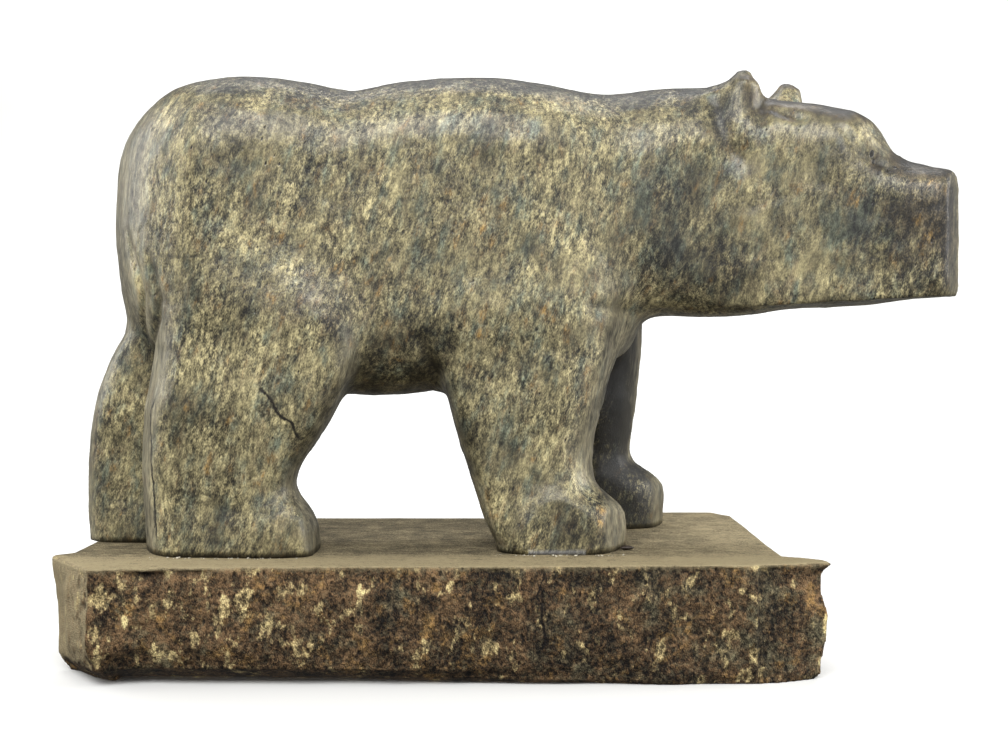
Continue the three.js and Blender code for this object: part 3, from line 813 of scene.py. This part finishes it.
def soapstone(settings):
    """Carved soapstone, sanded and waxed.

    Talc and chlorite flakes about 1 mm long lie nearly upright in the stone, olive, cream and
    grey-green in clouds. Sanding and wax leave it satin, so the eye gets broad soft highlights
    that the flakes break up, with old dirt where hands and cloths don't reach: in the hollows,
    specks and cracks. Painted shade darkens the tops, the undersides, the far foreleg, sheltered
    places and the hollows. The finest flakes and the sanding scratches, 0.1 to 0.3 mm, are drawn
    0.34 to 0.4 mm wide so that they show.
    """
    material, tree = blank_material("soapstone_sanded_and_waxed")
    plain = in_mm(tree)
    grain = in_mm(tree, GRAIN, GRAIN_LEAN)
    streaks = in_mm(tree, STREAKS, STREAKS_LEAN)
    rubbed, calm, dark, pitted, hollow = (
        add(tree, "ShaderNodeAttribute", attribute_name=field).outputs["Fac"]
        for field in ("rubbed", "calm", "dark", "pitted", "hollow")
    )

    # Flakes on the flanks, and their edges as upright lines on the ends.
    patterns = (
        (grain, 0.34, 0, 0.6),
        (grain, 0.8, None, 0.3),
        (grain, 1.6, None, 0.16),
        (grain, 1.1, 0, 0.5),
    )
    flakes = tone_of(tree, patterns)
    patterns = ((streaks, 0.4, 0, 0.7), (streaks, 0.8, None, 0.22), (streaks, 1.4, 0, 0.4))
    edges = tone_of(tree, patterns)
    fine = add(tree, "ShaderNodeMix", {0: rubbed, 2: flakes, 3: edges}, data_type="FLOAT")
    fine = add(tree, "ShaderNodeMath", {0: fine, 1: 0.5}, operation="SUBTRACT")
    vigour = add(tree, "ShaderNodeTexNoise", {"Vector": plain, "Scale": 1 / 13, "Detail": 1.0})
    vigour = add(tree, "ShaderNodeMath", {0: vigour, 1: 1.6, 2: 0.2}, operation="MULTIPLY_ADD")
    vigour = add(tree, "ShaderNodeMath", {0: calm, 1: -0.7, 2: vigour}, operation="MULTIPLY_ADD")
    clouds = tone_of(tree, ((grain, 3.4, 1, 0.5), (grain, 9, 2, 0.55), (plain, 26, 1, 0.35)))
    tone = add(tree, "ShaderNodeMath", {0: fine, 1: vigour, 2: clouds}, operation="MULTIPLY_ADD")
    # The dark field darkens the stone's clouds, paints shade on the tops, the undersides and the
    # far foreleg, and paints light on the tail.
    tone = add(tree, "ShaderNodeMath", {0: dark, 1: -0.16, 2: tone}, operation="MULTIPLY_ADD")

    colour = add(tree, "ShaderNodeValToRGB", {0: tone}, stops_of(settings.olive, 1.75))
    layers = (
        (settings.green, 1.7, grain, 5, 5.5, 0.05, "green"),
        (settings.brown, 1.6, grain, 4, 4.5, 0.0, "brown"),
        (settings.ochre, 1.4, grain, 4, 5.0, -0.55, "ochre"),
    )
    colour = layered(tree, tone, colour, layers)
    grey = add(tree, "ShaderNodeValToRGB", {0: tone}, stops_of(settings.grey, 1.1))
    share = add(tree, "ShaderNodeMath", {0: rubbed, 1: 0.75}, operation="MULTIPLY", use_clamp=True)
    colour = add(tree, "ShaderNodeMix", {SHARE: share, FROM: colour, TO: grey}, data_type="RGBA")

    # Ore specks and pits, 0.6 mm wide, or 1.4 mm where the stone is pitted.
    seeds = add(tree, "ShaderNodeTexVoronoi", {"Vector": grain, "Scale": 1 / SPECK_STEP})
    reach = add(tree, "ShaderNodeMath", {0: pitted, 1: 1.8, 2: 1.7}, operation="MULTIPLY_ADD")
    sockets = {0: seeds, 1: -13.0, 2: reach}
    speck = add(tree, "ShaderNodeMath", sockets, operation="MULTIPLY_ADD", use_clamp=True)
    drawn = add(tree, "ShaderNodeSeparateColor", {0: seeds.outputs["Color"]})
    drawn = add(tree, "ShaderNodeMath", {0: pitted, 1: drawn}, operation="ADD")
    drawn = add(tree, "ShaderNodeMath", {0: drawn, 1: 0.68}, operation="GREATER_THAN")
    speck = add(tree, "ShaderNodeMath", {0: speck, 1: drawn}, operation="MULTIPLY")

    # Dirt and painted shade in the hollows, painted shade in sheltered places, and dirt in the
    # specks and in the cracks.
    dirt_and_shade = add(tree, "ShaderNodeMath", {0: hollow, 1: 0.5}, operation="MULTIPLY", use_clamp=True)
    # Painted shade: the colour darkens where nearby stone shelters a place from the light.
    shelter = add(tree, "ShaderNodeAmbientOcclusion", {"Distance": SHELTER}, samples=6)
    open_air = shelter.outputs["AO"]
    painted_shade = add(tree, "ShaderNodeMath", {0: open_air, 1: -2.6, 2: 1.3}, operation="MULTIPLY_ADD")
    dirt_and_shade = add(tree, "ShaderNodeMath", {0: dirt_and_shade, 1: painted_shade}, operation="MAXIMUM")
    dirt_and_shade = add(tree, "ShaderNodeMath", {0: dirt_and_shade, 1: MOST_DIRT_AND_SHADE}, operation="MINIMUM")
    for mark in (speck, crack_line(tree, plain, 2.2, 2.0)):
        dirt_and_shade = add(tree, "ShaderNodeMath", {0: dirt_and_shade, 1: mark}, operation="MAXIMUM")
    sockets = {SHARE: dirt_and_shade, FROM: colour, TO: (*settings.dirt_and_shade, 1.0)}
    colour = add(tree, "ShaderNodeMix", sockets, data_type="RGBA")

    height = add(tree, "ShaderNodeMath", {0: speck, 1: -1.5, 2: tone}, operation="MULTIPLY_ADD")
    bump = add(tree, "ShaderNodeBump", {"Height": height, "Strength": 0.4, "Distance": 0.35 * MM})
    gloss = add(tree, "ShaderNodeMath", {0: tone, 1: -0.25, 2: 0.54}, operation="MULTIPLY_ADD")
    sockets = {"Base Color": colour, "Roughness": gloss, "IOR": STONE_IOR, "Normal": bump}
    surface = add(tree, "ShaderNodeBsdfPrincipled", sockets)
    add(tree, "ShaderNodeOutputMaterial", {"Surface": surface})
    return material


def chlorite(settings):
    """The slab: chlorite schist split from the block, with its top rubbed flat.

    The split sides stay raw, so the eye gets dark brown stone with ochre rust, cream talc,
    grey-green patches and small pits, with dirt and painted shade in the hollows. The rubbed top
    is taupe and matt, with dust and fine drag lines; dust and painted light make its front edge
    and the left end lighter.
    """
    material, tree = blank_material("chlorite_schist_split_and_rubbed")
    plain = in_mm(tree)
    upright = in_mm(tree, UPRIGHT)
    streaks = in_mm(tree, STREAKS)
    drag = in_mm(tree, DRAG, DRAG_LEAN)
    rubbed, dark, dust_and_painted_light, hollow = (
        add(tree, "ShaderNodeAttribute", attribute_name=field).outputs["Fac"]
        for field in ("rubbed", "dark", "dust_and_painted_light", "hollow")
    )

    patterns = (
        (upright, 0.36, 0, 0.8),
        (upright, 0.9, None, 0.45),
        (plain, 2.0, None, 0.2),
        (plain, 1.2, 0, 0.6),
        (plain, 4.5, 2, 0.9),
        (plain, 13, 1, 0.9),
    )
    tone = tone_of(tree, patterns)
    tone = add(tree, "ShaderNodeMath", {0: dark, 1: -0.22, 2: tone}, operation="MULTIPLY_ADD")
    colour = add(tree, "ShaderNodeValToRGB", {0: tone}, stops_of(settings.umber, 1.85))
    layers = (
        (settings.moss, 1.6, plain, 11, 7.0, -0.5, "moss"),
        (settings.rust, 1.5, plain, 7, 9.0, -0.5, "ochre"),
        (settings.talc, 1.3, upright, 5, 12.0, -0.95, "cream"),
    )
    colour = layered(tree, tone, colour, layers)

    # Grit drags lines about 0.2 mm wide over the top, drawn 0.4 mm wide so that they show.
    patterns = (
        (drag, 0.4, 0, 0.9),
        (plain, 0.3, 0, 1.0),
        (drag, 2, 1, 0.6),
        (streaks, 0.6, 0, 0.7),
        (plain, 9, 3, 0.8),
    )
    top_tone = tone_of(tree, patterns)
    # Dust and painted light lighten the rubbed top's front edge and the left end.
    sockets = {0: dust_and_painted_light, 1: 0.5, 2: top_tone}
    top_tone = add(tree, "ShaderNodeMath", sockets, operation="MULTIPLY_ADD")
    taupe = add(tree, "ShaderNodeValToRGB", {0: top_tone}, stops_of(settings.taupe, 1.0))
    share = mask_of(tree, plain, 1.6, 1.2, 0.0, "rubbed")
    colour = add(tree, "ShaderNodeMix", {SHARE: share, FROM: colour, TO: taupe}, data_type="RGBA")

    # Pits about 1 mm wide in the split faces.
    seeds = add(tree, "ShaderNodeTexVoronoi", {"Vector": upright, "Scale": 1 / PIT_STEP})
    sockets = {0: seeds, 1: -7.0, 2: 2.0}
    pit = add(tree, "ShaderNodeMath", sockets, operation="MULTIPLY_ADD", use_clamp=True)
    drawn = add(tree, "ShaderNodeSeparateColor", {0: seeds.outputs["Color"]})
    drawn = add(tree, "ShaderNodeMath", {0: drawn, 1: 0.62}, operation="GREATER_THAN")
    raw = add(tree, "ShaderNodeMath", {0: 1.0, 1: rubbed}, operation="SUBTRACT", use_clamp=True)
    for share in (drawn, raw):
        pit = add(tree, "ShaderNodeMath", {0: pit, 1: share}, operation="MULTIPLY")
    # Dirt and painted shade in the hollows, dirt in the pits and the cracks.
    dirt_and_shade = add(tree, "ShaderNodeMath", {0: hollow, 1: 1.1}, operation="MULTIPLY", use_clamp=True)
    dirt_and_shade = add(tree, "ShaderNodeMath", {0: dirt_and_shade, 1: pit}, operation="MAXIMUM")
    dirt_and_shade = add(tree, "ShaderNodeMath", {0: dirt_and_shade, 1: MOST_DIRT_AND_SHADE}, operation="MINIMUM")
    crack = crack_line(tree, plain, 1.8, 3.4)
    dirt_and_shade = add(tree, "ShaderNodeMath", {0: dirt_and_shade, 1: crack}, operation="MAXIMUM")
    sockets = {SHARE: dirt_and_shade, FROM: colour, TO: (*settings.dirt_and_shade, 1.0)}
    colour = add(tree, "ShaderNodeMix", sockets, data_type="RGBA")

    height = add(tree, "ShaderNodeMix", {0: rubbed, 2: tone, 3: top_tone}, data_type="FLOAT")
    height = add(tree, "ShaderNodeMath", {0: pit, 1: -1.0, 2: height}, operation="MULTIPLY_ADD")
    bump = add(tree, "ShaderNodeBump", {"Height": height, "Strength": 0.9, "Distance": 0.5 * MM})
    sockets = {
        "Base Color": colour,
        "Roughness": 0.8,
        "IOR": STONE_IOR,
        "Specular IOR Level": 0.25,
        "Normal": bump,
    }
    surface = add(tree, "ShaderNodeBsdfPrincipled", sockets)
    add(tree, "ShaderNodeOutputMaterial", {"Surface": surface})
    return material


def dust(settings):
    """Stone dust caked with old glue round the feet: pale, matt crumbs."""
    material, tree = blank_material("stone_dust_and_glue_caked")
    tone = tone_of(tree, ((in_mm(tree), 0.8, 2, 1.2),))
    colour = add(tree, "ShaderNodeValToRGB", {0: tone}, stops_of(settings.pale, 0.8))
    sockets = {"Base Color": colour, "Roughness": 0.8, "IOR": 1.5}
    surface = add(tree, "ShaderNodeBsdfPrincipled", sockets)
    add(tree, "ShaderNodeOutputMaterial", {"Surface": surface})
    return material


def bark(settings):
    """A flake of bark and loose brush bristles, dry: nearly black and dull."""
    material, tree = blank_material("bark_and_bristle_dry")
    tone = tone_of(tree, ((in_mm(tree), 0.5, 2, 1.2),))
    colour = add(tree, "ShaderNodeValToRGB", {0: tone}, stops_of(settings.dark, 1.2))
    sockets = {"Base Color": colour, "Roughness": 0.6, "IOR": 1.5}
    surface = add(tree, "ShaderNodeBsdfPrincipled", sockets)
    add(tree, "ShaderNodeOutputMaterial", {"Surface": surface})
    return material


def paper(settings):
    """A studio sweep of matt white paper: no gloss, so the floor stays plain."""
    material, tree = blank_material("paper_sweep_matt")
    sockets = {"Base Color": (*settings.paper, 1.0), "Roughness": 0.9}
    surface = add(tree, "ShaderNodeBsdfPrincipled", sockets)
    add(tree, "ShaderNodeOutputMaterial", {"Surface": surface})
    return material


# ---- What a user would change ----


def shade(name, default, description):
    """A colour setting with an sRGB default."""
    return bpy.props.FloatVectorProperty(
        name=name,
        description=description,
        default=linear(default),
        subtype="COLOR",
        min=0,
        max=1,
    )


def mesh_step(default):
    """A setting for how fine a stone's mesh is, from a step in mm."""
    return bpy.props.FloatProperty(
        name="Mesh step",
        description="How far apart the mesh's points are",
        default=default * MM,
        min=0.8 * MM,
        max=4 * MM,
        precision=5,
        unit="LENGTH",
    )


def relief_depth(name, description):
    """A setting for how deep a stone's relief is, as a share of the shown depth."""
    return bpy.props.FloatProperty(
        name=name, description=description, default=1.0, min=0, max=2, subtype="FACTOR"
    )


class BearSettings(bpy.types.PropertyGroup):
    """Sizes and colours of the carving."""

    grain: mesh_step(1.24)
    depth: relief_depth("Tool depth", "Depth of the carved lines and tool marks, as a share")
    olive: shade("Olive", "#7c7456", "Most of the stone")
    green: shade("Green", "#5a5e4f", "The stone's grey-green clouds")
    brown: shade("Brown", "#665b46", "The stone's brown clouds")
    ochre: shade("Ochre", "#8c6e36", "Iron-stained spots")
    grey: shade("Grey", "#807a68", "Ends of the flakes, seen from the bear's front and back")
    # This colour is also the painted shade on the tops, the undersides, the far foreleg, sheltered
    # places and the hollows.
    dirt_and_shade: shade("Dirt", "#1b170f", "Dirt in hollows, pits and cracks")


class SlabSettings(bpy.types.PropertyGroup):
    """Sizes and colours of the slab."""

    grain: mesh_step(0.96)
    depth: relief_depth("Split depth", "Depth of the split relief, as a share")
    umber: shade("Umber", "#463624", "Most of the split sides")
    moss: shade("Moss", "#4f4a38", "Grey-green patches of the split sides")
    rust: shade("Rust", "#664f2e", "Rust on the split sides")
    talc: shade("Talc", "#ab986c", "Cream talc on the split sides")
    taupe: shade("Taupe", "#71674f", "The rubbed top and end")
    # This colour is also the painted shade in the slab's hollows.
    dirt_and_shade: shade("Dirt", "#120c07", "Dirt in hollows, pits and cracks")


class DebrisSettings(bpy.types.PropertyGroup):
    """How much has gathered on the slab, and its colours."""

    crumbs: bpy.props.IntProperty(
        name="Crumbs",
        description="How many crumbs lie along each near foot",
        default=34,
        min=0,
        max=400,
    )
    pale: shade("Dust", "#bdb6a3", "The crumbs of stone dust and glue")
    dark: shade("Bark", "#2a2018", "The bark flake and the bristles")


class StudioSettings(bpy.types.PropertyGroup):
    """The camera, the light and the paper."""

    lens: bpy.props.FloatProperty(
        name="Lens", description="Camera's focal length", default=42.857, unit="CAMERA"
    )
    key: bpy.props.FloatProperty(
        name="Key light", description="Power of the main softbox", default=19.5, unit="POWER"
    )
    paper: shade("Paper", "#e6e6e4", "The paper sweep")


# ---- Operators ----


class STONEBEAR_OT_carve_bear(bpy.types.Operator):
    """Carves the bear's surface over its CAD solid"""

    bl_idname = "stonebear.carve_bear"
    bl_label = "Carve bear"

    def execute(self, context):
        settings = context.scene.bear_settings
        bear = fine_copy("bear_carving", "bear", settings.grain, settling=2, rounded=True)
        mesh = bear.data
        write(mesh, plane_faces(grind_head(read(mesh)[0])))
        write(mesh, inside_frame(carved(*read(mesh), settings.depth), "bear"))
        keep_fields(mesh, bear_fields(mesh))
        mesh.materials.append(soapstone(settings))
        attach(bear, "root")
        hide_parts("bear")
        return {"FINISHED"}


class STONEBEAR_OT_split_slab(bpy.types.Operator):
    """Splits and rubs the slab over its CAD solid"""

    bl_idname = "stonebear.split_slab"
    bl_label = "Split slab"

    def execute(self, context):
        settings = context.scene.slab_settings
        slab = fine_copy("split_slab", "base_slab", settings.grain, settling=1)
        mesh = slab.data
        points, normals = read(mesh)
        top, side = faces_of_slab(points, normals)
        points = split(points, normals, top, side, settings.depth)
        write(mesh, inside_frame(points, "base_slab"))
        keep_fields(mesh, slab_fields(mesh, top, side))
        mesh.materials.append(chlorite(settings))
        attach(slab, "root")
        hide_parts("base_slab")
        return {"FINISHED"}


# Sizes of the debris in mm.
FOOT_SPANS = ((-4, 39), (-118, -66))  # the near feet along the slab
SOLE_DEPTH = 0.5  # CAD points this near the slab are a sole's
SOLE_REACH = 7  # soles this near a crumb along the slab decide how far out it lies
CRUMB_GAP, CRUMB_DRIFT = 0.1, 1.1  # from the foot: at least, and on average beyond that
CRUMB_LEAST, CRUMB_MORE = 0.12, 0.1  # a crumb's radius: at least, and on average beyond that
CRUMB_FLATNESS, CRUMB_LIFT = 0.6, 0.2  # shares of its radius: its height and its middle's
OUT_OF_ROUND = 0.3
FLAKE_PLACE, FLAKE_RADII = (40.8, -29.5, 38.9), (2.3, 1.2, 0.7)
BRISTLE_RADIUS, BRISTLE_TAPER = 0.1, 0.35  # the taper is a share of the radius
BRISTLES = [
    [(45, 19, 38.3), (46.4, 18.2, 38.9), (48, 18.4, 38.5)],
    [(47, 24, 38.3), (49, 22.6, 39.2), (51.4, 22.4, 38.5)],
    [(50, 26, 38.3), (51, 24.2, 38.8), (51.4, 21.8, 38.4)],
]


def crumb(gathered, rng, centre, radii):
    """Adds one crumb: a ball pushed out of round, in mm."""
    turn = Euler(rng.uniform(0, math.pi, 3)).to_matrix()
    for vertex in bmesh.ops.create_icosphere(gathered, subdivisions=2, radius=1)["verts"]:
        push = 1 + OUT_OF_ROUND * rng.uniform(-1, 1)
        reach = Vector(r * c * push for r, c in zip(radii, turn @ vertex.co))
        vertex.co = (Vector(centre) + reach) * MM


def bristle(gathered, route):
    """Adds one bristle: a thin, tapered, four-sided hair through points in mm."""
    rings = []
    for i, point in enumerate(route):
        width = BRISTLE_RADIUS * (1 - BRISTLE_TAPER * i / len(route))
        corners = [(width, 0, 0), (0, 0, width), (-width, 0, 0), (0, 0, -width)]
        places = [(Vector(point) + Vector(corner)) * MM for corner in corners]
        rings.append([gathered.verts.new(place) for place in places])
    for low, high in zip(rings, rings[1:]):
        for i in range(4):
            gathered.faces.new((low[i], low[(i + 1) % 4], high[(i + 1) % 4], high[i]))
    gathered.faces.new(rings[0])
    gathered.faces.new(reversed(rings[-1]))


def gathered_piece(name, gathered, material):
    """Makes gathered debris a piece of the slab."""
    bmesh.ops.recalc_face_normals(gathered, faces=gathered.faces)
    mesh = bpy.data.meshes.new(name)
    gathered.to_mesh(mesh)
    gathered.free()
    mesh.shade_smooth()
    mesh.materials.append(material)
    piece = bpy.data.objects.new(name, mesh)
    bpy.context.scene.collection.objects.link(piece)
    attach(piece, "root")


class STONEBEAR_OT_drop_debris(bpy.types.Operator):
    """Lays pale crumbs along the feet, a bark flake and a few bristles on the slab"""

    bl_idname = "stonebear.drop_debris"
    bl_label = "Drop debris"

    def execute(self, context):
        settings = context.scene.debris_settings
        rng = np.random.default_rng(seed=7)
        points, _ = read(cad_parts["bear"].data)
        soles = points[points[:, 2] < SLAB_TOP + SOLE_DEPTH]
        gathered = bmesh.new()
        for span in FOOT_SPANS:
            for x in rng.uniform(*span, settings.crumbs):
                near = soles[np.abs(soles[:, 0] - x) < SOLE_REACH]
                y = near[:, 1].min() - CRUMB_GAP - rng.exponential(CRUMB_DRIFT)
                size = CRUMB_LEAST + rng.exponential(CRUMB_MORE)
                radii = (size, size, CRUMB_FLATNESS * size)
                crumb(gathered, rng, (x, y, SLAB_TOP + CRUMB_LIFT * size), radii)
        gathered_piece("pale_crumbs", gathered, dust(settings))

        gathered = bmesh.new()
        crumb(gathered, rng, FLAKE_PLACE, FLAKE_RADII)
        for route in BRISTLES:
            bristle(gathered, route)
        gathered_piece("bark_flake_and_bristles", gathered, bark(settings))
        return {"FINISHED"}


AIR_GLOW = 0.22  # how much the studio's air lights the stone, though it looks white

# The sweep in metres: its front edge, its wall, the quarter bend between floor and wall, its
# top and half its width.
FRONT, WALL, BEND, TOP, HALF = -0.62, 1.5, 0.5, 2.2, 2.6
BEND_STEPS = 12

# Each softbox's place, aim and size in metres, then its power in watts. The key's is a setting.
KEY = ("key_softbox", (-0.12, -0.9, 0.95), (0, 0, 0.12), (1.2, 0.6))
OTHER_LIGHTS = (
    ("left_softbox", (-1.0, 0.1, 0.5), (0, 0, 0.1), (0.7, 0.7), 5.5),
    ("right_softbox", (1.0, -0.1, 0.5), (0, 0, 0.1), (0.7, 0.7), 8.0),
    ("low_reflector", (0.36, -0.3, 0.03), (0.1, -0.03, 0.12), (0.4, 0.25), 0.5),
    ("backdrop_softbox", (0, 0.65, 1.5), (0, 1.5, 0.5), (1.6, 0.5), 34.0),
)

# The camera stands level, and its frame is moved down by a share of its width.
CAMERA_PLACE = (-0.00108, -0.43812, 0.1062)  # m
FRAME_SHIFT = -1 / 36


def air(name):
    """A world that looks white but lights the stone only a little."""
    world = bpy.data.worlds.new(name)
    world.use_nodes = True
    tree = world.node_tree
    tree.nodes.clear()
    seen = add(tree, "ShaderNodeLightPath").outputs["Is Camera Ray"]
    sockets = {0: seen, 1: 1.0 - AIR_GLOW, 2: AIR_GLOW}
    glow = add(tree, "ShaderNodeMath", sockets, operation="MULTIPLY_ADD")
    sockets = {"Color": (1, 1, 1, 1), "Strength": glow}
    add(tree, "ShaderNodeOutputWorld", {"Surface": add(tree, "ShaderNodeBackground", sockets)})
    return world


def sweep(name, material):
    """A flat floor, a quarter bend and a wall of paper that don't light the stone back."""
    line = [(FRONT, 0.0)]
    for i in range(BEND_STEPS + 1):
        turn = math.radians(90 * i / BEND_STEPS)
        line.append((WALL - BEND + BEND * math.sin(turn), BEND - BEND * math.cos(turn)))
    line.append((WALL, TOP))
    rim = [(x, y, z) for x in (-HALF, HALF) for y, z in line]
    count = len(line)
    faces = [(i, count + i, count + i + 1, i + 1) for i in range(count - 1)]
    mesh = bpy.data.meshes.new(name)
    mesh.from_pydata(rim, [], faces)
    mesh.shade_smooth()
    mesh.materials.append(material)
    piece = bpy.data.objects.new(name, mesh)
    piece.visible_diffuse = False
    piece.visible_glossy = False
    bpy.context.scene.collection.objects.link(piece)
    return piece


def softbox(name, place, aim, size, power):
    """A rectangular light that the camera doesn't see."""
    lamp = bpy.data.lights.new(name, "AREA")
    lamp.shape = "RECTANGLE"
    lamp.size, lamp.size_y = size
    lamp.energy = power
    holder = bpy.data.objects.new(name, lamp)
    holder.visible_camera = False
    holder.location = place
    holder.rotation_euler = (Vector(aim) - Vector(place)).to_track_quat("-Z", "Y").to_euler()
    bpy.context.scene.collection.objects.link(holder)


class STONEBEAR_OT_studio(bpy.types.Operator):
    """Sets the paper sweep, the soft lights and the camera"""

    bl_idname = "stonebear.studio"
    bl_label = "Studio"

    def execute(self, context):
        scene = context.scene
        settings = scene.studio_settings
        scene.view_settings.view_transform = "Standard"
        scene.world = air("studio_air")
        sweep("paper_sweep", paper(settings))
        for light in ((*KEY, settings.key), *OTHER_LIGHTS):
            softbox(*light)
        camera = bpy.data.objects.new("camera", bpy.data.cameras.new("camera"))
        camera.data.lens = settings.lens
        camera.data.shift_y = FRAME_SHIFT
        camera.location = CAMERA_PLACE
        camera.rotation_euler = (math.radians(90), 0, 0)
        scene.collection.objects.link(camera)
        scene.camera = camera
        return {"FINISHED"}


class STONEBEAR_PT_panel(bpy.types.Panel):
    """The bear's pieces and settings"""

    bl_idname = "STONEBEAR_PT_panel"
    bl_label = "Stone Bear"
    bl_space_type = "VIEW_3D"
    bl_region_type = "UI"
    bl_category = "Stone Bear"

    def draw(self, context):
        scene = context.scene
        for operator, settings in (
            ("stonebear.carve_bear", scene.bear_settings),
            ("stonebear.split_slab", scene.slab_settings),
            ("stonebear.drop_debris", scene.debris_settings),
            ("stonebear.studio", scene.studio_settings),
        ):
            box = self.layout.box()
            for name in settings.__annotations__:
                box.prop(settings, name)
            box.operator(operator)


SETTINGS = {
    "bear_settings": BearSettings,
    "slab_settings": SlabSettings,
    "debris_settings": DebrisSettings,
    "studio_settings": StudioSettings,
}
CLASSES = (
    *SETTINGS.values(),
    STONEBEAR_OT_carve_bear,
    STONEBEAR_OT_split_slab,
    STONEBEAR_OT_drop_debris,
    STONEBEAR_OT_studio,
    STONEBEAR_PT_panel,
)


def register():
    for made in CLASSES:
        bpy.utils.register_class(made)
    for name, group in SETTINGS.items():
        setattr(bpy.types.Scene, name, bpy.props.PointerProperty(type=group))


def unregister():
    for name in SETTINGS:
        delattr(bpy.types.Scene, name)
    for made in reversed(CLASSES):
        bpy.utils.unregister_class(made)


def main():
    """Builds everything."""
    register()
    bpy.ops.stonebear.carve_bear()
    bpy.ops.stonebear.split_slab()
    bpy.ops.stonebear.drop_debris()
    bpy.ops.stonebear.studio()


if __name__ == "__main__":
    main()
